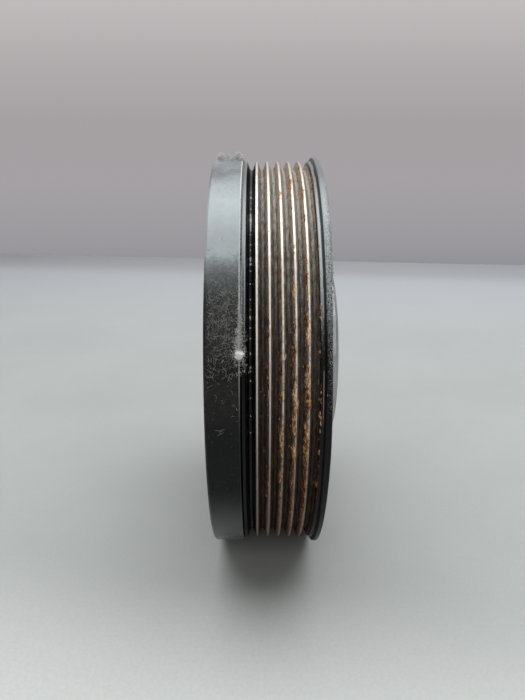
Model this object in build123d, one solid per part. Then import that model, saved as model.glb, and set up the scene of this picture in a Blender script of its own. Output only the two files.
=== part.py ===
from build123d import *
import math
import os

# Crankshaft pulley with a torsional damper. A turned hub bolts to the crankshaft. An inertia ring sits on it in a
# thin hard rubber ring, and a ribbed belt ring hangs on a second, softer rubber ring and is centred by a plain bearing.
# The crank axis is Y and +Y points to the engine. The origin is the centre of the hub's face that meets the crank.
# Lengths are in millimetres. Each turned section is drawn with its radius along X and its station along Y.

# Belt ring: a formed steel ring with grooves for a ribbed belt and a flared lip at the engine side
crest_radius = 68.2
rib_pitch = 3.56
groove_count = 6
groove_angle = 40.0
groove_depth = 2.75
crest_width = 0.72
belt_wall = 2.95
front_land = 1.01
lip_height = 1.6
lip_width = 1.25
lip_wall = 2.6
lip_chamfer = 0.5
flare_angle = 45.0
inner_flare_depth = 4.15

# Inertia ring: a cast ring with a plain band outside and a collar that reaches in under the belt ring
band_rise = 1.1
band_width = 9.88
band_front_chamfer = 0.7
ring_gap = 0.32
collar_length = 11.1
collar_wall = 7.95
balance_hole_radius = 3.5
balance_hole_depth = 4.5
balance_hole_inset = 6.0
balance_hole_angles = (97.0, 112.0)

# Plain bearing strip between the collar and the belt ring
bush_wall = 1.5
bush_slit = 1.0
bush_slit_slant = 25.0
bush_front_inset = 1.4
bush_rear_inset = 0.6
bearing_clearance = 0.05

# Damper rubber between the hub and the inertia ring
damper_wall = 4.2
damper_recess = 0.7

# Belt ring's rubber, and the sheet-steel ring that it is bonded in
outer_ring_wall = 2.2
outer_ring_inset = 0.4
isolator_gap = 1.0
isolator_recess = 0.6

# Hub: a central boss, a web flush with the boss's front, and a rim that carries both rubbers
boss_radius = 31.0
boss_height = 6.85
boss_thickness = 16.0
boss_chamfer = 1.0
pilot_radius = 13.0
pilot_chamfer = 0.8
web_thickness = 4.5
rim_wall = 4.3
rim_rear_inset = 2.15
rim_front_inset = 0.5
bolt_count = 4
bolt_circle_radius = 23.0
bolt_hole_radius = 4.25
locating_hole_radius = 3.0
locating_hole_depth = 8.0

# Belt ring stations along the crank axis, from the engine side to the front
groove_slope = math.tan(math.radians(groove_angle / 2))
groove_top = rib_pitch - crest_width
groove_bottom = groove_top - 2 * groove_depth * groove_slope
lip_y = -boss_height
flare_top_y = lip_y - lip_width
flare_foot_y = flare_top_y - lip_height / math.tan(math.radians(flare_angle))
first_groove_y = flare_foot_y - groove_top / 2 - rib_pitch * (groove_count - 1)
belt_front_y = first_groove_y - groove_top / 2 - front_land
bore_flare_y = lip_y - inner_flare_depth

# Stations of the inertia ring, the rubbers and the hub's rim
shoulder_y = belt_front_y - ring_gap
band_front_y = shoulder_y - band_width
collar_end_y = shoulder_y + collar_length
isolator_front_y = collar_end_y + isolator_gap
outer_ring_rear_y = bore_flare_y - outer_ring_inset
rim_rear_y = lip_y - rim_rear_inset
rim_front_y = band_front_y + rim_front_inset

# Radii, from the belt ring inwards to the hub's rim
lip_radius = crest_radius + lip_height
band_radius = crest_radius + band_rise
groove_radius = crest_radius - groove_depth
belt_bore_radius = groove_radius - belt_wall
outer_ring_bore_radius = belt_bore_radius - outer_ring_wall
bush_radius = belt_bore_radius - bearing_clearance
collar_radius = bush_radius - bush_wall
inertia_bore_radius = collar_radius - collar_wall
rim_radius = inertia_bore_radius - damper_wall
rim_bore_radius = rim_radius - rim_wall


def corner(section, radius, station):
    """The corner of a section that lies nearest to a radius and a station."""
    return section.vertices().sort_by_distance((radius, station, 0))[0]


def turned(*outline):
    """One piece turned about the crank axis from the corners of its section."""
    with BuildPart() as piece:
        with BuildSketch():
            with BuildLine():
                Polyline(*outline, close=True)
            make_face()
        revolve(axis=Axis.Y)
    return piece.part


def plain_ring(inner, outer, front, rear):
    """A ring of rectangular section between two radii and two stations."""
    return turned((inner, front), (outer, front), (outer, rear), (inner, rear))


def across_axis(station):
    """A plane square to the crank axis. It faces the front, with its second direction upwards."""
    return Plane.XZ.offset(-station)


def make_belt_ring():
    """Trapezoid grooves for a ribbed belt, and a flared lip with broken edges at the engine side."""
    grooves = []
    for number in range(groove_count):
        middle = first_groove_y + number * rib_pitch
        grooves += [
            (crest_radius, middle - groove_top / 2),
            (groove_radius, middle - groove_bottom / 2),
            (groove_radius, middle + groove_bottom / 2),
            (crest_radius, middle + groove_top / 2),
        ]
    with BuildPart() as ring:
        with BuildSketch() as section:
            with BuildLine():
                Polyline(
                    (belt_bore_radius, belt_front_y),
                    (crest_radius, belt_front_y),
                    *grooves,
                    (lip_radius, flare_top_y),
                    (lip_radius, lip_y),
                    (lip_radius - lip_wall, lip_y),
                    (belt_bore_radius, bore_flare_y),
                    close=True,
                )
            make_face()
            chamfer(corner(section, lip_radius, lip_y), lip_chamfer)
        revolve(axis=Axis.Y)
    return ring.part


def make_inertia_ring():
    """An L-shaped ring, the plain band outside and a collar inside, with balance drillings in its front face."""
    with BuildPart() as ring:
        with BuildSketch() as section:
            with BuildLine():
                Polyline(
                    (inertia_bore_radius, band_front_y),
                    (band_radius, band_front_y),
                    (band_radius, shoulder_y),
                    (collar_radius, shoulder_y),
                    (collar_radius, collar_end_y),
                    (inertia_bore_radius, collar_end_y),
                    close=True,
                )
            make_face()
            chamfer(corner(section, band_radius, band_front_y), band_front_chamfer)
        revolve(axis=Axis.Y)
        with BuildSketch(across_axis(band_front_y)):
            for angle in balance_hole_angles:
                with PolarLocations(band_radius - balance_hole_inset, 1, start_angle=angle):
                    Circle(balance_hole_radius)
        extrude(amount=-balance_hole_depth, mode=Mode.SUBTRACT)
    return ring.part


def make_bearing_bush():
    """A rolled strip whose two ends leave a slanted slit."""
    front = belt_front_y + bush_front_inset
    rear = collar_end_y - bush_rear_inset
    with BuildPart() as bush:
        add(plain_ring(collar_radius, bush_radius, front, rear))
        middle = ((collar_radius + bush_radius) / 2, (front + rear) / 2, 0)
        with Locations(Location(middle, (bush_slit_slant, 0, 0))):
            Box(3 * bush_wall, 2 * (rear - front), bush_slit, mode=Mode.SUBTRACT)
    return bush.part


def make_damper_rubber():
    """The hard rubber that lets the inertia ring wind up against the hub."""
    return plain_ring(
        rim_radius, inertia_bore_radius, rim_front_y + damper_recess, collar_end_y - damper_recess
    )


def make_isolator_outer_ring():
    """The sheet-steel ring pressed in the belt ring's bore."""
    return plain_ring(outer_ring_bore_radius, belt_bore_radius, isolator_front_y, outer_ring_rear_y)


def make_isolator_rubber():
    """The soft rubber that drives the belt ring, bonded between the hub's rim and the outer ring."""
    return plain_ring(
        rim_radius,
        outer_ring_bore_radius,
        isolator_front_y + isolator_recess,
        outer_ring_rear_y - isolator_recess,
    )


def make_hub():
    """A turned hub: boss, web and rim, drilled for the crankshaft's bolts."""
    hub_front_y = -boss_thickness
    web_rear_y = hub_front_y + web_thickness
    with BuildPart() as hub:
        with BuildSketch() as section:
            with BuildLine():
                Polyline(
                    (pilot_radius, hub_front_y),
                    (rim_bore_radius, hub_front_y),
                    (rim_bore_radius, rim_front_y),
                    (rim_radius, rim_front_y),
                    (rim_radius, rim_rear_y),
                    (rim_bore_radius, rim_rear_y),
                    (rim_bore_radius, web_rear_y),
                    (boss_radius, web_rear_y),
                    (boss_radius, 0),
                    (pilot_radius, 0),
                    close=True,
                )
            make_face()
            chamfer(corner(section, boss_radius, 0), boss_chamfer)
            chamfer(corner(section, pilot_radius, 0), pilot_chamfer)
        revolve(axis=Axis.Y)
        with BuildSketch(across_axis(0)):
            with PolarLocations(bolt_circle_radius, bolt_count, start_angle=45):
                Circle(bolt_hole_radius)
        extrude(amount=boss_thickness, mode=Mode.SUBTRACT)
        with BuildSketch(across_axis(0)):
            with PolarLocations(bolt_circle_radius, 1, start_angle=90):
                Circle(locating_hole_radius)
        extrude(amount=locating_hole_depth, mode=Mode.SUBTRACT)
    return hub.part


PIECES = {
    "hub": make_hub,
    "damper_rubber": make_damper_rubber,
    "inertia_ring": make_inertia_ring,
    "bearing_bush": make_bearing_bush,
    "isolator_rubber": make_isolator_rubber,
    "isolator_outer_ring": make_isolator_outer_ring,
    "belt_ring": make_belt_ring,
}

os.makedirs("parts", exist_ok=True)
for name, make in PIECES.items():
    export_step(make(), f"parts/{name}.step")
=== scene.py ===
import math
import random
from functools import partialmethod

import bpy
import numpy as np
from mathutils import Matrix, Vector
from mathutils.geometry import delaunay_2d_cdt


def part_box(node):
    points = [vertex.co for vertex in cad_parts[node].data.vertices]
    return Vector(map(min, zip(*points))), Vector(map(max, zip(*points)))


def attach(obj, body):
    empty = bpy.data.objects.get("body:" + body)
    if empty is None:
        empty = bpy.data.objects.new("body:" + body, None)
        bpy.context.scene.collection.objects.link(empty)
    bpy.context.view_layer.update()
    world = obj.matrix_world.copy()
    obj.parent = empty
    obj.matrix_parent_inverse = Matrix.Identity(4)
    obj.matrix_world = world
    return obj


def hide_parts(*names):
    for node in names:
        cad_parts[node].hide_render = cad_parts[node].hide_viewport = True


# Looks of a crankshaft pulley. The crank axis is Y and +Y points to the engine. +X is the side that faces the
# camera. Angles are in degrees and run from +X up to +Z. Lengths are in millimetres, apart from the lamps and
# the camera, which are placed in metres. A section's corners are (radius, station along Y, corner radius).

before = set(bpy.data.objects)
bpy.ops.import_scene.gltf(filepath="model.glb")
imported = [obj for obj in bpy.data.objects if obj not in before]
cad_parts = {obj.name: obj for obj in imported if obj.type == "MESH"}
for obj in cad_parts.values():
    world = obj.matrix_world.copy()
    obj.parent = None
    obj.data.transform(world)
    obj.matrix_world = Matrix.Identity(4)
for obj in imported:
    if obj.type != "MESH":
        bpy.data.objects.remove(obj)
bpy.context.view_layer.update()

MM = 0.001
TURNS = 720
BELT_TURNS = 640
HUB_TURNS = 480


def ends_of(node):
    """A solid's outer radius and the stations of its front and its rear."""
    low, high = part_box(node)
    return [round(value / MM, 2) for value in (high.x, low.y, high.y)]


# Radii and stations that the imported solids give
BAND, BAND_FRONT, COLLAR_END = ends_of("inertia_ring")
LIP, BELT_FRONT, LIP_REAR = ends_of("belt_ring")
HUB_RIM, RIM_FRONT, BOSS_REAR = ends_of("hub")
BELT_BORE, SLEEVE_FRONT, SLEEVE_REAR = ends_of("isolator_outer_ring")
SLEEVE_BORE = ends_of("isolator_rubber")[0]
INERTIA_BORE = ends_of("damper_rubber")[0]

# Belt ring: its grooves, its crests and its lip
PITCH = 3.56
GROOVE_COUNT = 6
GROOVE_HALF_TOP = 1.42
GROOVE_HALF_BOTTOM = 0.419
CREST = LIP - 1.6
GROOVE_BOTTOM = CREST - 2.75
FIRST_GROOVE = BELT_FRONT + 1.01 + GROOVE_HALF_TOP
FIRST_CREST = FIRST_GROOVE + PITCH / 2
LIP_TOP = LIP_REAR - 1.05

# Inertia ring: the rear of its band, its collar and its balance drillings
BAND_REAR = BELT_FRONT - 0.32
COLLAR = 60.95
BALANCE_CIRCLE = BAND - 6.0
BALANCE_ANGLES = (97.0, 112.0)
BALANCE_RADIUS = 3.5
BALANCE_DEPTH = 3.2

# Hub: its pilot bore, boss, web and rim, and its bolt holes
PILOT = 13.0
BOSS = 31.0
RIM_BORE = 44.5
RIM_REAR = -9.0
WEB_FRONT = -16.0
WEB_REAR = -11.5
BOLT_CIRCLE = 23.0
BOLT_COUNT = 4
BOLT_RADIUS = 4.25
LOCATING_RADIUS = 3.0
LOCATING_DEPTH = 6.4


# Turned shapes


def unit(x, y):
    length = math.hypot(x, y)
    return x / length, y / length


def rounded(corners, steps=3, widest=2.5, bare=()):
    """Points of a closed section whose corners are rounded, with their normals.

    Returns the points (radius, station), the normals, and for each side the indices of its two ends. A side
    listed in bare gets no points between its ends."""
    count = len(corners)
    following = corners[1:] + corners[:1]
    area = sum(a[0] * b[1] - b[0] * a[1] for a, b in zip(corners, following))
    outward = 1 if area > 0 else -1
    sides = [unit(b[0] - a[0], b[1] - a[1]) for a, b in zip(corners, following)]
    points, normals, starts, ends = [], [], [], []
    for i in range(count):
        radius, station, bend = corners[i]
        before, after = sides[i - 1], sides[i]
        n0 = (before[1] * outward, -before[0] * outward)
        n1 = (after[1] * outward, -after[0] * outward)
        turn = math.atan2(n0[0] * n1[1] - n0[1] * n1[0], n0[0] * n1[0] + n0[1] * n1[1])
        back = bend * math.tan(abs(turn) / 2)
        first = (radius - before[0] * back, station - before[1] * back)
        convex = 1 if turn * outward > 0 else -1
        centre = (first[0] - n0[0] * bend * convex, first[1] - n0[1] * bend * convex)
        ends.append(len(points))
        for k in range(steps + 1):
            part = turn * k / steps
            n = (
                n0[0] * math.cos(part) - n0[1] * math.sin(part),
                n0[0] * math.sin(part) + n0[1] * math.cos(part),
            )
            points.append((centre[0] + n[0] * bend * convex, centre[1] + n[1] * bend * convex))
            normals.append(n)
        starts.append(len(points) - 1)
        if i in bare:
            continue
        a, b = points[-1], following[i]
        pieces = int(math.hypot(b[0] - a[0], b[1] - a[1]) / widest)
        for k in range(1, pieces):
            points.append((a[0] + after[0] * widest * k, a[1] + after[1] * widest * k))
            normals.append(n1)
    flats = [(starts[i], ends[(i + 1) % count]) for i in range(count)]
    return points, normals, flats


class Shell:
    """A mesh under construction, in millimetres, with its own vertex normals."""

    def __init__(self):
        self.verts, self.normals = np.empty((0, 3)), np.empty((0, 3))
        self.quads, self.others = [], []

    def lathe(self, points, normals, turns, centre=(0.0, 0.0), skip=(), closed=True):
        """Turns a section about an axis along Y. Returns the first vertex of each ring."""
        base = len(self.verts)
        angles = np.arange(turns) * 2 * np.pi / turns
        c, s = np.cos(angles), np.sin(angles)
        for (radius, station), (outward, along) in zip(points, normals):
            level = np.full(turns, station)
            ring = np.stack([centre[0] + radius * c, level, centre[1] + radius * s], 1)
            facing = np.stack([outward * c, np.full(turns, along), outward * s], 1)
            self.verts = np.vstack([self.verts, ring])
            self.normals = np.vstack([self.normals, facing])
        here = np.arange(turns)
        after = (here + 1) % turns
        for i in range(len(points) if closed else len(points) - 1):
            if i not in skip:
                low, high = base + i * turns, base + (i + 1) % len(points) * turns
                self.quads.append(np.stack([low + here, low + after, high + after, high + here], 1))
        return [base + i * turns for i in range(len(points))]

    def plate(self, loops):
        """Fills the flat face between an outer loop of vertices and the loops inside it."""
        flat, edges, owners, loop_of = [], [], [], {}
        for start, turns in loops:
            first = len(flat)
            for k in range(turns):
                flat.append(Vector((self.verts[start + k][0], self.verts[start + k][2])))
                owners.append(start + k)
                loop_of[start + k] = start
                edges.append((first + k, first + (k + 1) % turns))
        out = delaunay_2d_cdt(flat, edges, [], 2, 1e-6)
        back = [owners[found[0]] for found in out[3]]
        for face in out[2]:
            corners = tuple(back[v] for v in face)
            # A face whose corners all lie on one loop fills a hole
            if len({loop_of[v] for v in corners}) > 1:
                self.others.append(corners)

    def build(self, name):
        """Makes the object. Each face is turned to agree with its vertices' normals."""
        quads = np.vstack(self.quads)
        faces = []
        for group in (quads, np.array(self.others, int).reshape(-1, 3)):
            if len(group):
                a, b, c = (self.verts[group[:, k]] for k in (0, 1, -1))
                facing = (np.cross(b - a, c - a) * self.normals[group].sum(1)).sum(1)
                faces += np.where((facing < 0)[:, None], group[:, ::-1], group).tolist()
        piece = new_mesh(name, self.verts, faces)
        piece.data.normals_split_custom_set_from_vertices(self.normals.tolist())
        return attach(piece, "root")


def put(name, data):
    thing = bpy.data.objects.new(name, data)
    bpy.context.scene.collection.objects.link(thing)
    return thing


def new_mesh(name, verts, faces, smooth=True):
    """A mesh object from points in millimetres."""
    mesh = bpy.data.meshes.new(name)
    mesh.from_pydata((np.asarray(verts) * MM).tolist(), [], faces)
    mesh.polygons.foreach_set("use_smooth", [smooth] * len(mesh.polygons))
    return put(name, mesh)


def turned(name, corners, steps=3, widest=2.5):
    points, normals, _ = rounded(corners, steps, widest)
    shell = Shell()
    shell.lathe(points, normals, TURNS)
    return shell.build(name)


def bore(shell, centre, radius, start, end, bevel, through, turns=48):
    """A drilled hole along Y from a face at start. Returns the loops where it meets its faces."""
    way = 1 if end > start else -1
    sections = [(radius + bevel, start), (radius, start + way * bevel)]
    if through:
        sections += [(radius, end - way * bevel), (radius + bevel, end)]
    else:
        sections += [(radius, end), (0.02, end + way * radius * 0.55)]
    for (r0, y0), (r1, y1) in zip(sections, sections[1:]):
        along, across = unit(y1 - y0, r1 - r0)
        normal = (-along * way, across * way)
        shell.lathe([(r0, y0), (r1, y1)], [normal, normal], turns, centre, closed=False)
    faces = [(start, -way), (end, way)] if through else [(start, -way)]
    return [
        (shell.lathe([(radius + bevel, station)], [(0.0, facing)], turns, centre, closed=False)[0], turns)
        for station, facing in faces
    ]


# Material helpers


class Surface:
    """A material under construction. Values are numbers, colours or sockets of other nodes."""

    def __init__(self, name, **constants):
        self.material = bpy.data.materials.new(name)
        self.material.use_nodes = True
        self.tree = self.material.node_tree
        self.shader = self.tree.nodes["Principled BSDF"]
        for socket, value in constants.items():
            self.shader.inputs[socket.replace("_", " ")].default_value = value
        self.place = self.tree.nodes.new("ShaderNodeTexCoord").outputs["Object"]

    def feed(self, socket, value):
        if isinstance(value, bpy.types.NodeSocket):
            self.tree.links.new(value, socket)
        elif socket.type == "RGBA":
            colour = value if isinstance(value, tuple) else (value,) * 3
            socket.default_value = (*colour, 1.0)
        else:
            socket.default_value = value

    def set(self, name, value):
        self.feed(self.shader.inputs[name], value)

    def math(self, operation, a, b=0.0, clamp=False):
        node = self.tree.nodes.new("ShaderNodeMath")
        node.operation = operation
        node.use_clamp = clamp
        for socket, value in zip(node.inputs, (a, b)):
            self.feed(socket, value)
        return node.outputs[0]

    times = partialmethod(math, "MULTIPLY")
    plus = partialmethod(math, "ADD")
    minus = partialmethod(math, "SUBTRACT")
    over = partialmethod(math, "DIVIDE")
    larger = partialmethod(math, "MAXIMUM")

    def swing(self, noise, amount, middle=0.5):
        """How far a noise is from its middle, times an amount."""
        return self.times(self.minus(noise, middle), amount)

    def blend(self, factor, a, b):
        node = self.tree.nodes.new("ShaderNodeMix")
        node.data_type = "RGBA"
        node.clamp_factor = True
        self.feed(node.inputs[0], factor)
        self.feed(node.inputs[6], a)
        self.feed(node.inputs[7], b)
        return node.outputs[2]

    def step(self, value, low, high, to_low=0.0, to_high=1.0):
        """A smooth change between two numbers while value goes from low to high. Low may be the greater."""
        node = self.tree.nodes.new("ShaderNodeMapRange")
        node.interpolation_type = "SMOOTHSTEP"
        for socket, number in zip(node.inputs, (value, low, high, to_low, to_high)):
            self.feed(socket, number)
        return node.outputs[0]

    def ramp(self, value, *stops):
        node = self.tree.nodes.new("ShaderNodeValToRGB")
        elements = node.color_ramp.elements
        while len(elements) < len(stops):
            elements.new(0.5)
        for element, (position, colour) in zip(elements, stops):
            element.position = position
            element.color = (*colour, 1.0)
        self.feed(node.inputs[0], value)
        return node.outputs[0]

    def stretched(self, along=1.0):
        """The place on the piece in millimetres, with what lies along the crank axis stretched."""
        node = self.tree.nodes.new("ShaderNodeVectorMath")
        node.operation = "MULTIPLY"
        self.feed(node.inputs[0], self.place)
        node.inputs[1].default_value = (1.0 / MM, along / MM, 1.0 / MM)
        return node.outputs[0]

    def noise(self, scale, detail, roughness, along=1.0, place=None):
        node = self.tree.nodes.new("ShaderNodeTexNoise")
        self.feed(node.inputs["Vector"], place or self.stretched(along))
        for name, value in (("Scale", scale), ("Detail", detail), ("Roughness", roughness)):
            node.inputs[name].default_value = value
        return node.outputs[0]

    def split(self):
        """Radius from the crank axis and the three coordinates, all in millimetres."""
        node = self.tree.nodes.new("ShaderNodeSeparateXYZ")
        self.feed(node.inputs[0], self.stretched())
        x, y, z = node.outputs
        return self.length(x, z), x, y, z

    def length(self, a, b):
        """The length of the hypotenuse over two sides."""
        return self.math("SQRT", self.plus(self.times(a, a), self.times(b, b)))

    def round_marks(self, radius, station, fineness=2.2):
        """Coordinates for tool marks: they change with the radius and the station, and not round the axis."""
        node = self.tree.nodes.new("ShaderNodeCombineXYZ")
        self.feed(node.inputs[0], self.times(radius, fineness))
        self.feed(node.inputs[1], self.times(station, fineness))
        return node.outputs[0]

    def attribute(self, name):
        node = self.tree.nodes.new("ShaderNodeAttribute")
        node.attribute_name = name
        return node.outputs["Fac"]

    def bump(self, height, distance, strength=1.0):
        """Adds relief to the shader. Distance is in millimetres."""
        node = self.tree.nodes.new("ShaderNodeBump")
        node.inputs["Distance"].default_value = distance * MM
        node.inputs["Strength"].default_value = strength
        self.feed(node.inputs["Height"], height)
        previous = self.shader.inputs["Normal"]
        if previous.is_linked:
            self.feed(node.inputs["Normal"], previous.links[0].from_socket)
        self.feed(previous, node.outputs[0])


# Belt ring


def belt_section():
    corners = [(BELT_BORE, BELT_FRONT, 0.2), (CREST, BELT_FRONT, 0.2)]
    for number in range(GROOVE_COUNT):
        middle = FIRST_GROOVE + number * PITCH
        corners += [
            (CREST, middle - GROOVE_HALF_TOP, 0.2),
            (GROOVE_BOTTOM, middle - GROOVE_HALF_BOTTOM, 0.28),
            (GROOVE_BOTTOM, middle + GROOVE_HALF_BOTTOM, 0.28),
            (CREST, middle + GROOVE_HALF_TOP, 0.2),
        ]
    corners[-1] = (CREST, LIP_REAR - 2.81, 0.15)
    return corners + [
        (CREST + 0.25, LIP_REAR - 1.87, 0.12), (LIP - 0.2, LIP_REAR - 1.42, 0.15),
        (LIP, LIP_TOP, 0.25), (LIP - 0.12, LIP_REAR - 0.15, 0.2), (LIP - 0.6, LIP_REAR, 0.1),
        (LIP - 2.6, LIP_REAR, 0.3), (BELT_BORE, LIP_REAR - 4.15, 0.5),
    ]


# (angle, how far the lip's rear edge runs out there)
RUN_OUT = [
    (-180, 0.0), (-60, 0.0), (-25, 0.3), (-9, 0.42), (4, 0.28), (15, 0.16), (31, 0.22),
    (38, 0.6), (47, 0.75), (54, 0.66), (75, 0.4), (120, 0.1), (180, 0.0),
]


def make_belt_ring():
    """The belt ring. The rear edge of its lip runs out on the side that faces the camera."""
    points, normals, _ = rounded(belt_section(), steps=2, widest=1.0)
    shell = Shell()
    shell.lathe(points, normals, BELT_TURNS)
    x, y, z = shell.verts.T
    run_out = np.interp(np.degrees(np.arctan2(z, x)), *zip(*RUN_OUT))
    share = np.clip((y - LIP_TOP) / 0.8, 0.0, 1.0) * np.clip((np.hypot(x, z) - 66.0) / 2.0, 0.0, 1.0)
    y += run_out * share
    return shell.build("ribbed_belt_ring")


belt_ring = make_belt_ring()
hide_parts("belt_ring")


# Inertia ring, hub, sleeve and rubbers


def on_circle(radius, angle):
    return radius * math.cos(math.radians(angle)), radius * math.sin(math.radians(angle))


def inertia_ring_shell():
    corners = [
        (INERTIA_BORE, BAND_FRONT, 0.4), (BAND - 0.55, BAND_FRONT, 0.3),
        (BAND, BAND_FRONT + 0.6, 0.4), (BAND, BAND_REAR, 0.16), (COLLAR, BAND_REAR, 0.3),
        (COLLAR, COLLAR_END, 0.3), (INERTIA_BORE, COLLAR_END, 0.3),
    ]
    points, normals, flats = rounded(corners, steps=4, widest=0.8, bare=(0,))
    shell = Shell()
    rings = shell.lathe(points, normals, TURNS, skip=(flats[0][0],))
    loops = [(rings[end], TURNS) for end in reversed(flats[0])]
    for angle in BALANCE_ANGLES:
        where, bottom = on_circle(BALANCE_CIRCLE, angle), BAND_FRONT + BALANCE_DEPTH
        loops += bore(shell, where, BALANCE_RADIUS, BAND_FRONT, bottom, 0.25, through=False)
    shell.plate(loops)
    return shell


inertia_ring = inertia_ring_shell().build("inertia_ring_band")
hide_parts("inertia_ring")


def hub_shell():
    corners = [
        (PILOT, WEB_FRONT, 0.5), (RIM_BORE, WEB_FRONT, 0.9), (RIM_BORE, RIM_FRONT, 0.4),
        (HUB_RIM, RIM_FRONT, 0.4), (HUB_RIM, RIM_REAR, 0.4), (RIM_BORE, RIM_REAR, 0.4),
        (RIM_BORE, WEB_REAR, 0.9), (BOSS, WEB_REAR, 1.0), (BOSS, BOSS_REAR - 1.0, 0.3),
        (BOSS - 1.0, BOSS_REAR, 0.3), (PILOT + 0.8, BOSS_REAR, 0.2), (PILOT, BOSS_REAR - 0.8, 0.2),
    ]
    points, normals, flats = rounded(corners, steps=4, widest=3.0, bare=(0, 9))
    shell = Shell()
    rings = shell.lathe(points, normals, HUB_TURNS, skip=(flats[0][0], flats[9][0]))
    front = [(rings[end], HUB_TURNS) for end in reversed(flats[0])]
    rear = [(rings[end], HUB_TURNS) for end in flats[9]]
    for number in range(BOLT_COUNT):
        where = on_circle(BOLT_CIRCLE, 45 + 360 / BOLT_COUNT * number)
        at_rear, at_front = bore(shell, where, BOLT_RADIUS, BOSS_REAR, WEB_FRONT, 0.4, through=True)
        rear.append(at_rear)
        front.append(at_front)
    where, bottom = (0.0, BOLT_CIRCLE), BOSS_REAR - LOCATING_DEPTH
    rear += bore(shell, where, LOCATING_RADIUS, BOSS_REAR, bottom, 0.3, through=False)
    shell.plate(front)
    shell.plate(rear)
    return shell


hub = hub_shell().build("hub_flange")
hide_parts("hub")

outer_ring = turned(
    "isolator_sleeve",
    [
        (SLEEVE_BORE, SLEEVE_FRONT, 0.3), (BELT_BORE, SLEEVE_FRONT, 0.3),
        (BELT_BORE, SLEEVE_REAR, 0.6), (SLEEVE_BORE, SLEEVE_REAR, 0.6),
    ],
)
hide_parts("isolator_outer_ring")

isolator = turned(
    "isolator_rubber_ring",
    [
        (HUB_RIM, -18.9, 0.2), (HUB_RIM + 2.2, -18.2, 1.5), (SLEEVE_BORE - 2.3, -18.2, 1.5),
        (SLEEVE_BORE, -18.9, 0.2), (SLEEVE_BORE, -12.1, 0.2), (SLEEVE_BORE - 1.9, -13.1, 1.8),
        (HUB_RIM + 1.9, -13.1, 1.8), (HUB_RIM, -12.1, 0.2),
    ],
    widest=1.5,
)
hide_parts("isolator_rubber")

damper = turned(
    "damper_rubber_ring",
    [
        (HUB_RIM, -40.3, 0.1), (HUB_RIM + 0.9, -39.5, 0.8), (INERTIA_BORE - 0.9, -39.5, 0.8),
        (INERTIA_BORE, -40.3, 0.1), (INERTIA_BORE, -21.4, 0.1), (INERTIA_BORE - 0.9, -22.0, 0.8),
        (HUB_RIM + 0.9, -22.0, 0.8), (HUB_RIM, -21.4, 0.1),
    ],
    widest=1.5,
)
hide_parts("damper_rubber")


# Rust on the belt ring

# (angle, station, half its length round the ring, half its width, tone): tone 0 is dark brown, 1 pale
RUST_SPOTS = [
    (58, -13.6, 2.2, 0.5, 0.65), (48, -13.9, 1.6, 0.5, 0.8), (64.5, -10.5, 3.6, 0.8, 0.35),
    (62.5, -15.2, 3.3, 0.5, 0.7), (63, -17.2, 4.0, 0.5, 0.6), (31.5, -13.7, 1.6, 0.4, 0.5),
    (58, -20.4, 2.7, 0.5, 0.75), (28, -16.9, 2.2, 0.3, 0.8), (25, -9.8, 0.9, 0.3, 0.85),
    (22, -9.8, 0.9, 0.3, 0.95), (21, -13.9, 1.9, 0.4, 0.3), (18.5, -13.0, 1.8, 0.5, 1.0),
    (16.4, -19.5, 1.2, 0.4, 1.0), (13.1, -19.5, 1.2, 0.4, 1.0), (14, -17.2, 1.3, 0.5, 0.5),
    (7.6, -13.2, 2.2, 0.5, 0.8), (3, -13.1, 2.0, 0.5, 0.65), (1.2, -12.9, 1.2, 0.4, 0.4),
    (10, -20.6, 1.8, 0.4, 0.3), (2.7, -20.8, 2.3, 0.4, 0.35), (2.3, -15.9, 1.0, 0.4, 1.0),
    (4.8, -16.9, 1.5, 0.4, 1.0), (6, -11.1, 3.3, 0.3, 0.25), (14, -10.2, 2.0, 0.3, 0.45),
    (19.4, -24.0, 2.7, 0.3, 0.25), (6.7, -24.1, 2.8, 0.3, 0.25), (-4.1, -13.4, 1.7, 0.5, 0.85),
    (-9, -13.5, 4.0, 0.5, 0.65), (-2.8, -17.0, 3.6, 0.5, 0.6), (-10, -16.9, 2.0, 0.5, 0.9),
    (-6.7, -20.3, 3.2, 0.4, 0.7), (-18, -20.6, 2.4, 0.4, 0.55), (-20.3, -17.4, 3.0, 0.4, 0.4),
    (-22.3, -24.3, 5.4, 0.4, 0.3), (-1.5, -9.8, 1.8, 0.2, 0.8), (-10, -9.9, 4.7, 0.12, 0.6),
    (-21, -10.0, 1.7, 0.2, 0.5), (-25, -13.5, 6.9, 0.4, 0.3),
]

# The grooves' flanks rust between these two stations
RUST_FRONT = -27.6
RUST_REAR = -9.3


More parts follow.
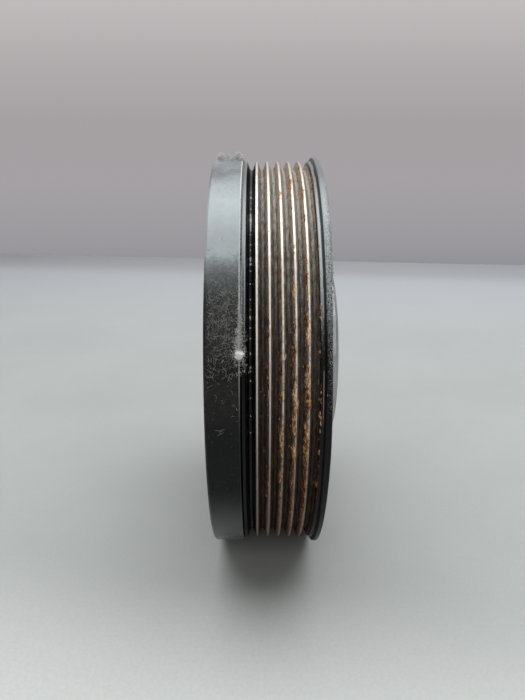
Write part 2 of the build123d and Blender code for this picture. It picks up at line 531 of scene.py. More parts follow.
def rust_at_vertices(piece):
    """How likely rust is at each vertex, and its tone. It favours the front flanks near the lip."""
    place = np.empty(len(piece.data.vertices) * 3)
    piece.data.vertices.foreach_get("co", place)
    x, y, z = place.reshape(-1, 3).T / MM
    radius = np.hypot(x, z)
    angle = np.degrees(np.arctan2(z, x))
    crest = (y - FIRST_CREST) / PITCH
    number = np.rint(crest)
    share = np.interp(number, [0, 1, 2, 3, 4, 5], [0.0, 0.08, 0.22, 0.34, 0.37, 0.15])
    side = np.where(crest < number, 1.0, 0.15)
    height = np.interp(radius, [65.5, 66.4, 67.2, 68.2], [0.0, 0.4, 1.0, 0.95])
    around = np.interp(angle, [-60, -20, 15, 32, 50, 90, 180], [0.85, 1.0, 1.0, 0.72, 0.42, 0.6, 0.8])
    bias = share * side * height * around - 0.12 * (1.0 - side)
    tone = np.interp(angle, [-60, -30, 5, 40], [0.3, 0.36, 0.46, 0.44])
    for at, station, length, width, shade in RUST_SPOTS:
        arc = np.radians((angle - at + 180) % 360 - 180) * CREST
        near = np.exp(-((arc / length) ** 2) - ((y - station) / (width * 1.5)) ** 2)
        bias += 0.56 * near * np.clip((radius - 65.3) / 1.5, 0.0, 1.0)
        tone += (shade - tone) * np.clip(near * 1.6, 0.0, 1.0)
    bias[(y > RUST_REAR) | (y < RUST_FRONT)] = -1.0
    for name, values in (("rust", bias), ("rust_tone", tone)):
        layer = piece.data.attributes.new(name, "FLOAT", "POINT")
        layer.data.foreach_set("value", values.astype(np.float32))


rust_at_vertices(belt_ring)


# Lint, dust and the white dab

chance = random.Random(7)

DAB_ANGLE = 13.7
DAB_STATION = -31.85
DAB_REACH = 1.2


def on_ring(angle, station, lift=0.0, radius=BAND):
    """A point on a cylinder round the crank axis, or above it by lift."""
    a = math.radians(angle)
    return np.array(((radius + lift) * math.cos(a), station, (radius + lift) * math.sin(a)))


def any_heading():
    """Any direction, in radians."""
    return chance.uniform(0, 6.28)


def ground(station):
    """The radius of the surface near the gap: the band's before it and the belt ring's after it."""
    return BAND if station < BAND_REAR else CREST


def fibres(name, paths, thickness):
    """Thin threads with three sides along lines of points."""
    verts, faces = [], []
    for path in paths:
        path = np.asarray(path)
        base = len(verts)
        for k, point in enumerate(path):
            way = path[min(k + 1, len(path) - 1)] - path[max(k - 1, 0)]
            way = way / (np.linalg.norm(way) + 1e-9)
            side = np.cross(way, point / np.linalg.norm(point))
            side /= np.linalg.norm(side) + 1e-9
            over = np.cross(side, way)
            taper = thickness * (0.35 + 0.65 * math.sin(math.pi * (k + 0.5) / len(path)))
            for turn in range(3):
                a = 2 * math.pi * turn / 3
                verts.append(point + taper * (math.cos(a) * side + math.sin(a) * over))
            if k:
                for turn in range(3):
                    m = (turn + 1) % 3
                    low = base + 3 * (k - 1)
                    faces.append((low + turn, low + m, low + 3 + m, low + 3 + turn))
        faces.append((base + 2, base + 1, base))
        faces.append(tuple(len(verts) - 3 + t for t in range(3)))
    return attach(new_mesh(name, verts, faces), "root")


def grains(name, places):
    """Small crumbs, each an uneven eight-sided lump, at (centre, size)."""
    verts, faces = [], []
    for centre, size in places:
        base = len(verts)
        for axis in range(3):
            for sign in (1, -1):
                corner = np.array([chance.uniform(-0.35, 0.35) for _ in range(3)])
                corner[axis] += sign * chance.uniform(0.6, 1.1)
                verts.append(centre + corner * size)
        for a in (0, 1):
            for b in (2, 3):
                for c in (4, 5):
                    tri = (base + a, base + b, base + c)
                    faces.append(tri if (a + b + c) % 2 == 0 else tri[::-1])
    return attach(new_mesh(name, verts, faces, smooth=False), "root")


def curl(angle, station, length, heading, bend, lift, radius=BAND, points=8):
    """A short curved thread that lies on a cylinder."""
    line = []
    along, across = math.radians(angle) * radius, station
    for _ in range(points):
        line.append(on_ring(math.degrees(along / radius), across, lift, radius))
        along += math.cos(heading) * length / points
        across += math.sin(heading) * length / points
        heading += bend / points
        lift = max(0.02, lift + chance.uniform(-0.02, 0.03))
    return line


def inside_band(line):
    return all(BAND_FRONT + 0.8 < p[1] < BAND_REAR - 0.1 for p in line)


# (angle, station, length, heading, bend) of the longest threads on the band
LONG_THREADS = [
    (9.5, -38.6, 4.2, 3.4, 3.6), (10.6, -37.4, 3.4, 2.6, 3.0), (8.2, -36.6, 4.6, 1.2, -2.6),
    (12.6, -36.8, 3.0, 0.5, 1.6), (21.0, -38.8, 3.2, 1.9, 1.4), (24.0, -36.0, 3.6, 1.2, -1.8),
    (18.0, -36.4, 2.8, 2.2, 1.2), (16.2, -35.0, 2.6, 1.0, 1.0), (28.0, -34.6, 3.4, 2.6, -1.2),
    (6.0, -34.4, 2.2, 2.2, 1.4), (13.4, -35.6, 2.4, 1.5, -1.4),
]


def band_lint():
    """Lint on the band. It is densest just above the middle of the side that faces the camera."""
    paths = []
    for _ in range(760):
        angle = chance.triangular(6, 39, 25) if chance.random() < 0.965 else chance.uniform(-8, 12)
        length = chance.choice((0.5, 0.8, 1.2, 1.8, 2.6))
        station = chance.uniform(-41, -32)
        paths.append(curl(angle, station, length, any_heading(), chance.gauss(0, 2.2), 0.03))
    for _ in range(200):
        length = chance.choice((0.5, 1.0, 1.6))
        angle = chance.uniform(38, 300)
        station = chance.uniform(-41, -32)
        paths.append(curl(angle, station, length, any_heading(), chance.uniform(-2, 2), 0.03))
    paths = [line for line in paths if inside_band(line)]
    for angle, station, length, heading, bend in LONG_THREADS:
        paths.append(curl(angle, station, length, heading, bend, 0.05, points=14))
    return paths


def gap_lint():
    """The net of pale threads above the dab, and threads along the band's rear edge."""
    paths = []
    for _ in range(260):
        angle = chance.triangular(14.5, 25, 15.5)
        reach = np.interp(angle, [14.5, 18, 20.5, 25], [1.2, 0.95, 0.5, 0.3])
        station = -31.55 + chance.gauss(0.0, 0.6 * reach) - 0.3 * reach
        length = chance.uniform(0.4, 1.5)
        heading, bend = any_heading(), chance.uniform(-2, 2)
        paths.append(curl(angle, station, length, heading, bend, 0.08, ground(station), 7))
    for _ in range(60):
        station = -31.2 + chance.gauss(0, 0.7)
        angle = chance.uniform(9, 13)
        length = chance.uniform(0.4, 1.2)
        paths.append(curl(angle, station, length, any_heading(), 1.0, 0.06, ground(station), 6))
    for _ in range(230):
        angle = chance.triangular(20, 37, 22)
        station = -31.6 + chance.gauss(0.0, 0.22)
        length = chance.uniform(0.2, 0.7)
        paths.append(curl(angle, station, length, any_heading(), 1.0, 0.07, ground(station), 5))
    return paths


def tuft(angle, station, size, count):
    """A small loose heap of lint, longer in one direction than in the others."""
    paths = []
    centre = on_ring(angle, station, size * 0.6)
    spread = np.array((1.25, 1.0, 0.85))
    for _ in range(count):
        start = np.array([chance.gauss(0, 0.45) for _ in range(3)])
        way = np.array([chance.gauss(0, 1) for _ in range(3)])
        way /= np.linalg.norm(way)
        turn = np.array([chance.gauss(0, 0.5) for _ in range(3)])
        line = []
        for _ in range(7):
            start = start + way * 0.22
            way = way + turn * 0.35
            way /= np.linalg.norm(way)
            out = np.linalg.norm(start)
            line.append(centre + size * spread * start * min(1.0, (0.6 + 0.42 * (out - 0.6)) / out))
        paths.append(line)
    return paths


def band_dust():
    """Dust on the band, most of it where the lint is densest."""
    front, rear = BAND_FRONT + 0.35, BAND_REAR - 0.13
    for _ in range(1300):
        angle = chance.triangular(6, 44, 27) if chance.random() < 0.9 else chance.uniform(-25, 10)
        station = chance.uniform(front, rear)
        yield on_ring(angle, station, 0.01), chance.choice((0.03, 0.04, 0.06))
    for _ in range(800):
        angle = chance.uniform(0, 312)
        station = chance.uniform(front, rear)
        yield on_ring(angle, station, 0.01), chance.choice((0.03, 0.05, 0.07))


def lip_dust():
    """Grains on the lip's outer face and along its rear edge."""
    for _ in range(2600):
        angle = chance.triangular(-2, 62, 30)
        station = chance.uniform(-8.1, -6.7)
        yield on_ring(angle, station, 0.0, LIP - 0.05), chance.choice((0.04, 0.06, 0.1))
    for _ in range(1500):
        angle = chance.triangular(12, 62, 38)
        station = -6.8 + chance.gauss(0.3, 0.15)
        radius = chance.uniform(69.3, 69.85)
        yield on_ring(angle, station, 0.0, radius), chance.uniform(0.05, 0.16)


def gap_dust():
    """Grains that fill the gap in its upper part, and lines of them beside it."""
    for _ in range(5200):
        angle = chance.triangular(34, 125, 60) if chance.random() < 0.75 else chance.uniform(12, 36)
        station = chance.uniform(BAND_REAR + 0.01, BELT_FRONT + 0.01)
        yield on_ring(angle, station, 0.0, chance.uniform(67.9, 68.5)), 0.09
    for _ in range(2200):
        angle = chance.triangular(12, 62, 24)
        station = chance.choice((-31.85, -31.22, -30.42)) + chance.gauss(0, 0.09)
        yield on_ring(angle, station, 0.0, ground(station)), chance.choice((0.05, 0.07, 0.09))


def groove_dust():
    """Single grains in the grooves."""
    for _ in range(420):
        station = chance.uniform(-28.0, -9.5)
        angle = chance.uniform(-40, 75)
        radius = chance.uniform(66.4, CREST)
        yield on_ring(angle, station, 0.02, radius), chance.uniform(0.03, 0.08)


def dust_grains():
    return [grain for part in (band_dust, lip_dust, gap_dust, groove_dust) for grain in part()]


# (angle, half length round the ring, half width) of the pale crumbs along the bottom of the first groove,
# which are painted glints of light
WHITE_SPECKS = [
    (62.5, 0.2, 0.1), (59.6, 0.5, 0.2), (57.0, 0.2, 0.1), (54.5, 0.3, 0.1), (52.0, 0.7, 0.24),
    (51.2, 0.5, 0.2), (50.3, 0.9, 0.3), (49.4, 0.5, 0.2), (48.6, 0.7, 0.26), (47.7, 0.5, 0.2),
    (46.8, 0.6, 0.2), (45.2, 0.2, 0.12), (42.0, 0.2, 0.1), (40.2, 0.2, 0.1), (37.6, 0.7, 0.22),
    (36.3, 0.3, 0.3), (34.4, 0.2, 0.1), (31.0, 0.2, 0.1), (27.0, 0.2, 0.08), (24.6, 0.2, 0.08),
    (22.5, 0.5, 0.16), (20.0, 0.2, 0.12), (17.5, 0.2, 0.08), (13.8, 0.4, 0.12), (10.5, 0.3, 0.18),
    (9.6, 0.2, 0.12), (7.3, 0.2, 0.14), (3.0, 0.15, 0.08), (-1.5, 0.2, 0.08), (-6.0, 0.15, 0.07),
]

# (angle, station, size) of single white specks on the grooves' flanks
SINGLE_SPECKS = [
    (8.3, -24.1, 0.14), (5.2, -25.9, 0.13), (5.8, -25.6, 0.08), (17.5, -23.6, 0.07), (21.0, -15.0, 0.08),
]


def white_specks_and_painted_glints():
    places = [(on_ring(angle, station, 0.02, 67.9), size) for angle, station, size in SINGLE_SPECKS]
    # Pale grains along the first groove's bottom: painted glints of light.
    for angle, length, width in WHITE_SPECKS:
        for _ in range(int(10 + 60 * length * width / 0.1)):
            arc, across = chance.gauss(0, 0.5 * length), chance.gauss(0, 0.4 * width)
            turn = angle + math.degrees(arc / GROOVE_BOTTOM)
            at = on_ring(turn, FIRST_GROOVE + 0.05 + across, 0.03, GROOVE_BOTTOM)
            places.append((at, chance.uniform(0.06, 0.13)))
    return places


def dab_grains():
    """The dab's loose grains: larger and denser towards its middle."""
    places = []
    for _ in range(1100):
        out = abs(chance.gauss(0, 0.6))
        around = any_heading()
        arc, across = 1.5 * out * math.sin(around), 1.5 * out * math.cos(around)
        lift = max(0.0, 0.3 * (1.0 - out)) + 0.03
        station = DAB_STATION + across
        radius = BAND if station < -31.2 else CREST + 0.55
        size = chance.uniform(0.07, 0.21) * (1.1 - 0.45 * min(out, 1.2))
        places.append((on_ring(DAB_ANGLE + math.degrees(arc / BAND), station, lift, radius), size))
    return places


def dab_crust():
    """The dab's crust: a low uneven dome across the band's edge."""
    verts, faces = [on_ring(DAB_ANGLE, DAB_STATION, 0.4)], []
    rings, turns = 7, 36
    angles = [2 * math.pi * k / turns for k in range(turns)]
    ragged = [
        1.0 + 0.16 * math.sin(3 * a + 1) + 0.1 * math.sin(7 * a) + chance.uniform(-0.08, 0.08)
        for a in angles
    ]
    for ring in range(1, rings + 1):
        share = ring / rings
        for a, edge in zip(angles, ragged):
            reach = DAB_REACH * share * edge
            lift = 0.42 * (1 - share ** 2.2) - 0.05 * share + chance.uniform(-0.05, 0.05) * (share < 1)
            turn = DAB_ANGLE + math.degrees(reach * math.sin(a) / BAND)
            verts.append(on_ring(turn, DAB_STATION + reach * math.cos(a), lift))
    for k in range(turns):
        faces.append((0, 1 + k, 1 + (k + 1) % turns))
    for ring in range(rings - 1):
        for k in range(turns):
            low, m = 1 + ring * turns, (k + 1) % turns
            faces.append((low + k, low + turns + k, low + turns + m, low + m))
    faces.append(tuple(1 + (rings - 1) * turns + k for k in range(turns))[::-1])
    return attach(new_mesh("white_dab_crust", verts, faces), "root")


# (angle, station, size, number of threads) of the heaps of lint on top of the band
TUFTS = [
    (83, -39.3, 1.4, 210), (86, -37.3, 1.2, 150), (81, -35.4, 0.9, 100), (84, -33.3, 1.6, 270),
    (80, -31.9, 1.2, 150),
]

lint = fibres("band_lint", band_lint(), 0.04)
net = fibres("gap_lint", gap_lint(), 0.045)
tufts = fibres("top_lint", [path for heap in TUFTS for path in tuft(*heap)], 0.03)
dust = grains("dust_grains", dust_grains())
crumbs = grains("white_specks_and_painted_glints", white_specks_and_painted_glints())
dab = grains("white_dab_grains", dab_grains())
crust = dab_crust()


# Materials


class GrooveSurface(Surface):
    """The belt ring's material, with the places and noises that its layers share."""

    def __init__(self, name, **constants):
        super().__init__(name, **constants)
        self.radius, _, self.y, z = self.split()
        # Height runs from -1 at the ring's foot to 1 at its top
        self.height = self.over(z, self.radius)
        turn = self.over(self.minus(self.y, FIRST_CREST), PITCH)
        # The nearest crest's number, and how far along the crank axis it is, with and without the sign
        self.number = self.math("ROUND", turn)
        self.offset = self.times(self.minus(turn, self.number), PITCH)
        self.across = self.math("ABSOLUTE", self.offset)
        self.streaks = self.noise(0.38, 5.0, 0.7, 4.5)
        self.hues = self.noise(0.16, 3.0, 0.6, 2.5)
        self.specks = self.noise(2.2, 3.0, 0.7, 1.6)
        self.blotches = self.noise(0.6, 4.0, 0.65, 2.5)
        self.patches = self.noise(0.36, 6.0, 0.72, 1.9)
        self.wander = self.noise(0.8, 3.0, 0.6, 1.5)
        self.crumbs = self.noise(1.1, 3.0, 0.6, 1.4)


def groove_grime(s):
    """Dark brown dirt under pale dust. The pale layer grows towards the top and on the flanks near the
    crests; the flanks just above the groove bottoms get least of it, a painted shade, and the bottoms on the
    upper side are paler, dust with a painted sheen.
    """
    # Groove bottoms: paler on the upper side, dust with a painted sheen, and darker below. The lower flanks
    # just above them get the least pale layer, a painted shade in the groove's corners.
    bottom = s.times(s.step(s.across, 1.28, 1.5), s.step(s.height, 0.15, 0.6, -0.25, 0.2))
    level = s.plus(s.step(s.across, 0.4, 1.1, 1.15, 0.55), bottom)
    level = s.times(level, s.step(s.streaks, 0.36, 0.66, 0.45, 1.6))
    level = s.times(level, s.step(s.specks, 0.32, 0.66, 0.6, 1.4))
    level = s.times(level, s.step(s.y, -28.5, -17.0, 0.5, 1.1))
    # Paler towards the top.
    paler_towards_top = s.plus(s.step(s.height, 0.25, 0.92, 0.26, 1.0), s.step(s.height, 0.6, 0.85, 0.0, 0.5))
    paler_towards_top = s.times(paler_towards_top, s.step(s.height, -0.5, 0.3, 0.22, 1.0))
    dust = s.ramp(
        s.hues,
        (0.34, (0.34, 0.33, 0.27)), (0.46, (0.42, 0.335, 0.235)), (0.56, (0.36, 0.31, 0.25)),
        (0.68, (0.47, 0.345, 0.205)),
    )
    dust = s.blend(s.step(s.offset, -0.2, 0.4, 0.0, 0.8), dust, (0.37, 0.35, 0.29))
    dust = s.blend(s.step(s.height, 0.35, -0.15, 0.0, 0.7), dust, (0.36, 0.22, 0.13))
    dust = s.blend(s.step(s.across, 1.3, 1.5, 0.0, 0.7), dust, (0.38, 0.38, 0.37))
    dirt = s.ramp(
        s.streaks,
        (0.32, (0.006, 0.0041, 0.0036)),
        (0.5, (0.017, 0.01, 0.0072)),
        (0.66, (0.045, 0.0245, 0.015)),
    )
    grime = s.blend(s.times(level, paler_towards_top, clamp=True), dirt, dust)
    flecks = s.times(s.step(s.specks, 0.63, 0.7), s.step(s.blotches, 0.42, 0.58))
    flecks = s.times(flecks, s.step(s.height, -0.5, 0.25, 0.12, 0.7))
    return s.blend(flecks, grime, (0.34, 0.25, 0.15))


def groove_paint(s):
    """Black paint at both ends of the ring, with pale dust and painted highlights on the front land and about
    the lip, and a thin painted highlight line at the lip's foot.
    """
    paint = s.ramp(s.streaks, (0.3, (0.0025, 0.0025, 0.003)), (0.9, (0.006, 0.0065, 0.007)))
    strip = s.times(s.step(s.y, -10.02, -9.86), s.step(s.y, -9.15, -8.9, 1.0, 0.08))
    land = s.larger(s.step(s.y, -31.08, -31.2), s.step(s.y, -30.62, -30.5))
    land = s.times(land, s.step(s.y, -30.16, -30.26))
    top_land = s.times(s.step(s.y, -30.3, -30.4), s.step(s.height, 0.5, 0.7, 0.25, 0.75))
    clotted = s.step(s.specks, 0.42, 0.58, s.step(s.height, 0.85, 0.55, 0.9, 0.25), 1.0)
    lip = s.times(s.step(s.radius, LIP - 0.45, LIP - 0.2), clotted)
    places = s.larger(s.larger(strip, lip), s.larger(land, top_land))
    places = s.times(places, s.step(s.radius, CREST - 0.45, CREST - 0.2))
    # The pale places get dust and painted highlights, most on the upper side: the land's edges, the strip
    # before the lip and the lip's outer face.
    dust_and_sheen = s.step(s.plus(s.height, s.swing(s.specks, 0.5)), 0.24, 0.62)
    dust_and_sheen = s.times(dust_and_sheen, s.step(s.height, 0.74, 0.92, 1.0, 0.38))
    paint = s.blend(s.times(s.times(dust_and_sheen, places), 0.95), paint, (0.5, 0.55, 0.56))
    # A thin pale line at the lip's foot on the upper side: a painted highlight.
    from_line = s.math("ABSOLUTE", s.plus(s.y, 9.0))
    line = s.times(s.step(from_line, 0.12, 0.05), s.step(s.hues, 0.47, 0.55))
    line = s.times(line, s.times(s.step(s.radius, 67.5, 67.9), s.step(s.height, -0.12, 0.06)))
    return s.blend(s.times(line, 0.5), paint, (0.5, 0.52, 0.52))


def groove_rust(s):
    """How much rust shows, its tone from dark to pale, and its colour."""
    likely = s.plus(s.swing(s.patches, 2.2), s.swing(s.crumbs, 1.3))
    amount = s.step(s.plus(likely, s.attribute("rust")), 0.3, 0.42)
    tone = s.plus(s.attribute("rust_tone"), s.swing(s.crumbs, 2.7, 0.545))
    tone = s.plus(tone, s.swing(s.blotches, 1.3))
    colour = s.ramp(
        tone,
        (0.05, (0.022, 0.01, 0.006)), (0.28, (0.09, 0.036, 0.016)), (0.48, (0.35, 0.132, 0.038)),
        (0.7, (0.53, 0.28, 0.105)), (0.95, (0.7, 0.54, 0.37)),
    )
    return amount, tone, colour


def beige_dirt(s, painted):
    """How much beige dirt there is on the lower side, on the crests and their front flanks."""
    amount = s.times(s.step(s.height, -0.22, -0.62), s.step(s.offset, -1.0, -0.6))
    amount = s.times(amount, s.step(s.offset, 0.5, 0.2))
    amount = s.times(amount, s.minus(1.0, painted))
    return s.times(amount, s.step(s.streaks, 0.4, 0.6, 0.45, 0.9))


def crest_wear_and_highlight(s, rust):
    """Where the belt has rubbed the crests bright. Near the top the bright band spreads over the crests'
    edges, a painted highlight; lower down it is narrower on the front crests and broken in places.
    """
    # The bright band widens over the crests' edges near the top: a painted highlight.
    highlight_spill = s.step(s.height, 0.4, 0.75, 0.0, 0.15)
    edge = s.math("ABSOLUTE", s.minus(s.offset, 0.08))
    edge = s.plus(edge, s.swing(s.wander, 0.25))
    edge = s.plus(edge, s.times(s.step(s.height, 0.25, 0.0), s.step(s.number, 2.0, 0.8, 0.0, 0.05)))
    edge = s.minus(edge, highlight_spill)
    chips = s.times(s.step(s.number, 0.8, 2.2), s.step(s.height, 0.55, 0.05))
    chips = s.times(chips, s.step(s.plus(s.wander, s.times(s.specks, 0.6)), 0.84, 0.72))
    wear_and_highlight = s.times(s.step(edge, 0.31, 0.19), s.step(s.plus(s.radius, highlight_spill), CREST - 0.3, CREST - 0.15))
    wear_and_highlight = s.times(wear_and_highlight, s.minus(1.0, s.times(chips, 0.8)))
    between_grooves = s.times(s.step(s.number, -0.4, -0.2), s.step(s.number, 4.4, 4.2))
    wear_and_highlight = s.times(wear_and_highlight, between_grooves)
    return s.times(wear_and_highlight, s.step(rust, 0.5, 1.0, 1.0, 0.2))


def crest_colour(s):
    """Bright steel on the upper side. Below the middle it turns darker, a painted shade, and near the foot
    warm brown.
    """
    steel_and_shade = s.ramp(s.wander, (0.3, (0.44, 0.4, 0.35)), (0.6, (0.6, 0.56, 0.5)))
    # Darker below the middle: painted shade.
    steel_and_shade = s.blend(s.step(s.height, 0.12, -0.3), steel_and_shade, (0.26, 0.225, 0.19))
    return s.blend(s.step(s.height, -0.35, -0.75), steel_and_shade, (0.3, 0.235, 0.185))


def worn_belt_steel():
    """Grooves of the belt ring: crests rubbed bright, their bright band partly a painted highlight, brown
    grime and dust between them with painted shade and sheen, and rust on the front flanks.
    """
    s = GrooveSurface("worn_belt_steel", Specular_IOR_Level=0.15)
    painted = s.larger(s.step(s.y, -27.45, -27.52), s.step(s.y, -10.2, -10.0))
    rust, tone, rust_colour = groove_rust(s)
    wear_and_highlight = crest_wear_and_highlight(s, rust)
    colour = s.blend(painted, groove_grime(s), groove_paint(s))
    colour = s.blend(beige_dirt(s, painted), colour, (0.21, 0.135, 0.085))
    colour = s.blend(rust, colour, rust_colour)
    s.set("Base Color", s.blend(wear_and_highlight, colour, crest_colour(s)))
    s.set("Metallic", s.times(wear_and_highlight, s.step(s.height, -0.8, -0.3, 0.5, 0.85)))
    dull = s.blend(painted, 0.6, 0.3)
    s.set("Roughness", s.blend(wear_and_highlight, s.blend(rust, dull, 0.85), 0.42))
    s.bump(s.streaks, 0.05, 0.6)
    s.bump(s.times(rust, tone), 0.12, 0.8)
    return s.material


# (height, how much of the band the pale layer hides there): the pale layer is dust and a painted reflection
# of the overhead lamp; height is -1 at the band's foot and 1 at its top
DUST_AND_REFLECTION_BY_HEIGHT = [
    (0.3, 0.0), (0.438, 0.022), (0.51, 0.18), (0.547, 0.32), (0.576, 0.49), (0.6, 0.78), (0.62, 0.77),
    (0.64, 0.74), (0.69, 0.765), (0.76, 0.88), (0.81, 0.9), (0.857, 0.67), (0.89, 0.46), (0.93, 0.42),
    (0.965, 0.46),
]


def dust_and_reflection_share(s, height, clumps, mottle):
    """How much pale dust and painted reflection of the overhead lamp hide the band: none below, most of it
    above, and patches of less near the top.
    """
    ragged = s.plus(height, s.swing(clumps, 0.06))
    dust_and_sheen = s.times(s.ramp(ragged, *((at, (share,) * 3) for at, share in DUST_AND_REFLECTION_BY_HEIGHT)), 1.05)
    blotch = s.noise(0.14, 3.0, 0.55)
    patchy = s.times(s.step(height, 0.83, 0.9), s.step(blotch, 0.7, 0.3, -0.2, 0.22))
    dust_and_sheen = s.times(dust_and_sheen, s.minus(1.0, patchy))
    return s.times(dust_and_sheen, s.step(mottle, 0.2, 0.8, 0.9, 1.0))


def black_paint():
    """Satin black paint: dust and a painted reflection of the overhead lamp above, a thin haze about the
    middle, a paler underside that is a painted reflection of the table, and a bare rear edge with a painted
    highlight on its upper side.
    """
    s = Surface("black_paint", Specular_IOR_Level=0.14)
    radius, _, y, z = s.split()
    height = s.over(z, radius)
    mottle = s.noise(0.3, 4.0, 0.6)
    clumps = s.noise(0.9, 4.0, 0.65)
    fine = s.noise(3.0, 3.0, 0.7)
    outside = s.step(radius, 66.0, 68.5)
    paint = s.ramp(mottle, (0.3, (0.0025, 0.0027, 0.003)), (0.75, (0.0052, 0.0056, 0.0062)))
    # The pale blue-grey layer above is dust together with a painted reflection of the overhead lamp.
    dust_and_sheen = s.times(dust_and_reflection_share(s, height, clumps, mottle), outside)
    colour = s.blend(dust_and_sheen, paint, (0.45, 0.5, 0.51))
    haze = s.times(s.step(height, -0.14, 0.1), s.step(height, 0.4, 0.12, 0.35, 1.0))
    haze = s.times(s.times(haze, s.step(clumps, 0.35, 0.68, 0.35, 1.0)), outside)
    colour = s.blend(s.times(haze, 0.05), colour, (0.45, 0.41, 0.37))
    # A paler underside: a painted reflection of the table.
    under = s.times(s.step(height, -0.34, -0.72), outside)
    colour = s.blend(s.times(under, 0.6), colour, (0.16, 0.175, 0.17))
    # A pale line along the band's rear edge: bare paint, brightened on the upper side as a painted highlight.
    edge = s.times(s.step(y, BAND_REAR - 0.5, BAND_REAR - 0.2), s.step(radius, BAND - 0.3, BAND - 0.18))
    edge = s.times(edge, s.step(fine, 0.35, 0.6, 0.5, 1.0))
    edge = s.times(edge, s.step(height, -0.1, 0.5, 0.02, 0.95))
    s.set("Base Color", s.blend(edge, colour, (0.66, 0.68, 0.67)))
    s.set("Roughness", s.step(mottle, 0.3, 0.7, 0.2, 0.27))
    s.bump(fine, 0.012, 0.4)
    return s.material


def hub_steel():
    """Pale turned steel: tool marks round the axis, dull stains, and a darker colour in the web's corners."""
    s = Surface("hub_steel", Metallic=0.75)
    radius, _, y, _ = s.split()
    marks = s.noise(1.0, 3.0, 0.7, place=s.round_marks(radius, y))
    stains = s.noise(0.1, 5.0, 0.62)
    spots = s.noise(0.9, 4.0, 0.65)
    tone = s.plus(s.times(marks, 0.35), s.times(stains, 0.65))
    steel = ((0.32, (0.31, 0.32, 0.315)), (0.5, (0.43, 0.445, 0.445)), (0.68, (0.53, 0.545, 0.54)))
    tarnish = s.step(s.plus(stains, s.times(spots, 0.12)), 0.58, 0.8, 0.0, 0.5)
    colour = s.blend(tarnish, s.ramp(tone, *steel), (0.22, 0.16, 0.11))
    # Darker near the web's inner corners.
    corner = 0.0
    for at, station, reach in ((RIM_BORE, WEB_FRONT, 3.4), (RIM_BORE, WEB_REAR, 2.2), (BOSS, WEB_REAR, 2.8)):
        away = s.length(s.minus(radius, at), s.minus(y, station))
        corner = s.larger(corner, s.step(away, reach, 0.3))
    grime = s.noise(0.35, 5.0, 0.65)
    corner = s.times(corner, s.step(grime, 0.3, 0.6, 0.35, 0.85))
    s.set("Base Color", s.blend(corner, colour, (0.075, 0.065, 0.055)))
    s.set("Roughness", s.step(tone, 0.3, 0.7, 0.5, 0.36))
    s.bump(marks, 0.02, 0.6)
    s.bump(spots, 0.015, 0.5)
    return s.material


def sheet_steel():
    s = Surface("sheet_steel", Metallic=1.0)
    tone = s.noise(0.3, 4.0, 0.6)
    s.set("Base Color", s.ramp(tone, (0.3, (0.2, 0.19, 0.18)), (0.7, (0.36, 0.35, 0.33))))
    s.set("Roughness", s.step(tone, 0.3, 0.7, 0.36, 0.55))
    s.bump(tone, 0.02, 0.5)
    return s.material


def rubber(name, dark, pale):
    s = Surface(name)
    tone = s.noise(0.5, 5.0, 0.65)
    s.set("Base Color", s.ramp(tone, (0.3, dark), (0.75, pale)))
    s.set("Roughness", s.step(tone, 0.3, 0.7, 0.62, 0.8))
    s.bump(s.noise(3.0, 4.0, 0.6), 0.03, 0.5)
    return s.material


def bearing_plastic():
    s = Surface("bearing_plastic")
    tone = s.noise(0.4, 4.0, 0.6, 6.0)
    s.set("Base Color", s.ramp(tone, (0.3, (0.1, 0.075, 0.05)), (0.7, (0.17, 0.13, 0.09))))
    s.set("Roughness", s.step(tone, 0.3, 0.7, 0.4, 0.55))
    return s.material


def dirt(name, dark, pale, scale=1.5):
    s = Surface(name, Roughness=0.95, Specular_IOR_Level=0.2)
    tone = s.noise(scale, 3.0, 0.6)
    s.set("Base Color", s.ramp(tone, (0.3, dark), (0.7, pale)))
    return s.material


def give(piece, material):
    piece.data.materials.clear()
    piece.data.materials.append(material)


give(belt_ring, worn_belt_steel())
give(inertia_ring, black_paint())
give(hub, hub_steel())
give(outer_ring, sheet_steel())
give(isolator, rubber("soft_rubber", (0.012, 0.012, 0.012), (0.03, 0.029, 0.028)))
give(damper, rubber("hard_rubber", (0.01, 0.01, 0.01), (0.024, 0.024, 0.023)))
give(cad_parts["bearing_bush"], bearing_plastic())
give(lint, dirt("lint", (0.12, 0.12, 0.115), (0.42, 0.42, 0.4), 0.5))
give(net, dirt("pale_lint", (0.4, 0.4, 0.38), (0.74, 0.74, 0.7)))
give(tufts, dirt("grey_lint", (0.62, 0.62, 0.6), (0.8, 0.8, 0.77)))
give(dust, dirt("dust", (0.24, 0.25, 0.25), (0.54, 0.55, 0.53)))
give(crumbs, dirt("white_specks_and_painted_glints", (0.62, 0.64, 0.6), (0.84, 0.85, 0.81)))
give(dab, dirt("dab", (0.64, 0.64, 0.58), (0.86, 0.86, 0.81)))
give(crust, dirt("dab_crust", (0.68, 0.68, 0.62), (0.84, 0.84, 0.79)))


# Stage, light and camera

floor = new_mesh(
    "table",
    [(-1400, -2500, -LIP), (2500, -2500, -LIP), (2500, 2500, -LIP), (-400, 2500, -LIP)],
    [(0, 1, 2, 3)],
)
wall = new_mesh(
    "backdrop",
    [(-2000, -3000, -1500), (-2000, 3000, -1500), (-2000, 3000, 2500), (-2000, -3000, 2500)],
    [(0, 1, 2, 3)],
)


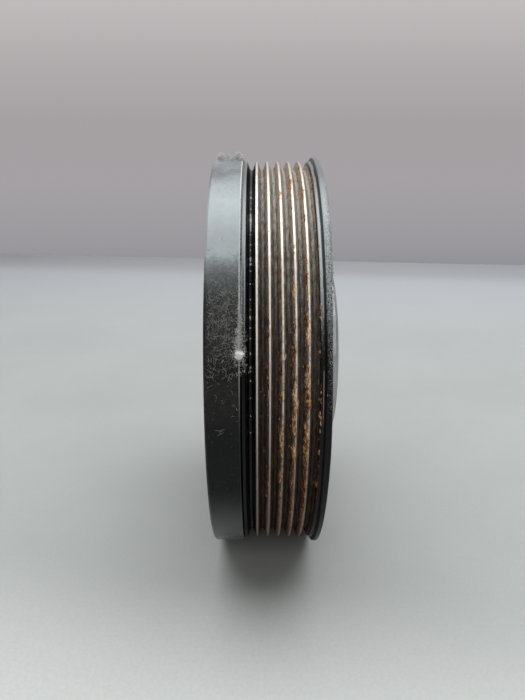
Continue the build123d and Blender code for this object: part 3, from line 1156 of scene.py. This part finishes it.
def table_top():
    """A plain grey table. Its colour is darker in a strip under the pulley, a painted shadow, and paler in
    front of the pulley and behind it, painted light that makes up for the lamps' falloff; it is darker at its
    far end.
    """
    s = Surface("table_top", Roughness=0.55, Specular_IOR_Level=0.25)
    _, x, y, _ = s.split()
    back = s.plus(x, s.times(y, -0.2))
    tone = s.noise(0.012, 4.0, 0.6)
    grain = s.noise(0.9, 2.0, 0.6)
    # The darker strip under the pulley is a painted shadow; the paler colour in front and behind is painted
    # light.
    near = s.ramp(tone, (0.3, (0.41, 0.425, 0.41)), (0.7, (0.445, 0.46, 0.445)))
    far = s.blend(s.step(back, -700.0, -100.0), (0.53, 0.548, 0.565), near)
    far = s.blend(s.step(back, 40.0, 120.0), far, (0.6, 0.61, 0.59))
    far = s.blend(s.step(grain, 0.3, 0.7, 0.0, 0.12), far, (0.3, 0.31, 0.3))
    s.set("Base Color", s.blend(s.step(back, -780.0, -640.0), (0.44, 0.44, 0.46), far))
    s.bump(grain, 0.1, 0.3)
    return s.material


def back_wall():
    """A plain wall that shows its own colour to the camera and in reflections, and lights nothing else."""
    s = Surface("back_wall", Roughness=0.9)
    z = s.split()[3]
    shade = s.ramp(
        s.over(s.plus(z, 250.0), 900.0),
        (0.05, (0.285, 0.29, 0.31)), (0.12, (0.328, 0.314, 0.337)),
        (0.22, (0.351, 0.337, 0.356)), (0.372, (0.376, 0.356, 0.371)),
        (0.594, (0.378, 0.358, 0.366)), (0.806, (0.44, 0.418, 0.423)),
        (0.992, (0.521, 0.491, 0.496)),
    )
    s.set("Base Color", shade)
    path = s.tree.nodes.new("ShaderNodeLightPath")
    seen = s.plus(path.outputs["Is Camera Ray"], path.outputs["Is Glossy Ray"], clamp=True)
    glow = s.tree.nodes.new("ShaderNodeEmission")
    s.feed(glow.inputs["Color"], shade)
    mixed = s.tree.nodes.new("ShaderNodeMixShader")
    s.feed(mixed.inputs[0], seen)
    s.feed(mixed.inputs[1], s.shader.outputs[0])
    s.feed(mixed.inputs[2], glow.outputs[0])
    s.feed(s.tree.nodes["Material Output"].inputs[0], mixed.outputs[0])
    return s.material


give(floor, table_top())
give(wall, back_wall())


def light_room():
    """A dim even light from all round, and a brighter grey where the camera or a reflection sees it."""
    world = bpy.data.worlds.new("room")
    bpy.context.scene.world = world
    world.use_nodes = True
    nodes, links = world.node_tree.nodes, world.node_tree.links
    path = nodes.new("ShaderNodeLightPath")
    seen = nodes.new("ShaderNodeMath")
    seen.operation = "MAXIMUM"
    room = nodes.new("ShaderNodeMix")
    room.data_type = "RGBA"
    room.inputs[6].default_value = (0.1, 0.103, 0.112, 1.0)
    room.inputs[7].default_value = (0.35, 0.345, 0.36, 1.0)
    links.new(path.outputs["Is Camera Ray"], seen.inputs[0])
    links.new(path.outputs["Is Glossy Ray"], seen.inputs[1])
    links.new(seen.outputs[0], room.inputs[0])
    links.new(room.outputs[2], nodes["Background"].inputs[0])


def aim(thing, place, target):
    thing.location = place
    thing.rotation_euler = (Vector(target) - Vector(place)).to_track_quat("-Z", "Y").to_euler()


def lamp(name, place, target, size, radiance, colour):
    """A soft rectangular lamp whose surface is as bright as radiance."""
    data = bpy.data.lights.new(name, "AREA")
    data.shape = "RECTANGLE"
    data.size, data.size_y = size
    data.energy = radiance * math.pi * size[0] * size[1]
    data.color = colour
    light = put(name, data)
    light.visible_camera = False
    aim(light, place, target)


def set_camera(place, target, lens):
    data = bpy.data.cameras.new("camera")
    data.lens = lens
    data.sensor_width = 36.0
    data.clip_start = 0.01
    camera = put("camera", data)
    aim(camera, place, target)
    bpy.context.scene.camera = camera


light_room()
lamp("ceiling_lamp", (-0.14, 0.05, 1.0), (-0.14, 0.05, 0.0), (1.2, 1.7), 3.0, (0.97, 0.985, 1.0))
lamp("front_panel", (1.5, 0.0, 0.9), (0.0, 0.0, 0.0), (2.0, 1.1), 1.3, (1.0, 0.99, 0.97))
set_camera((0.22236, -0.02665, 0.05958), (0.0, -0.02512, -0.00038), lens=30.99)
bpy.context.scene.view_settings.view_transform = "Standard"
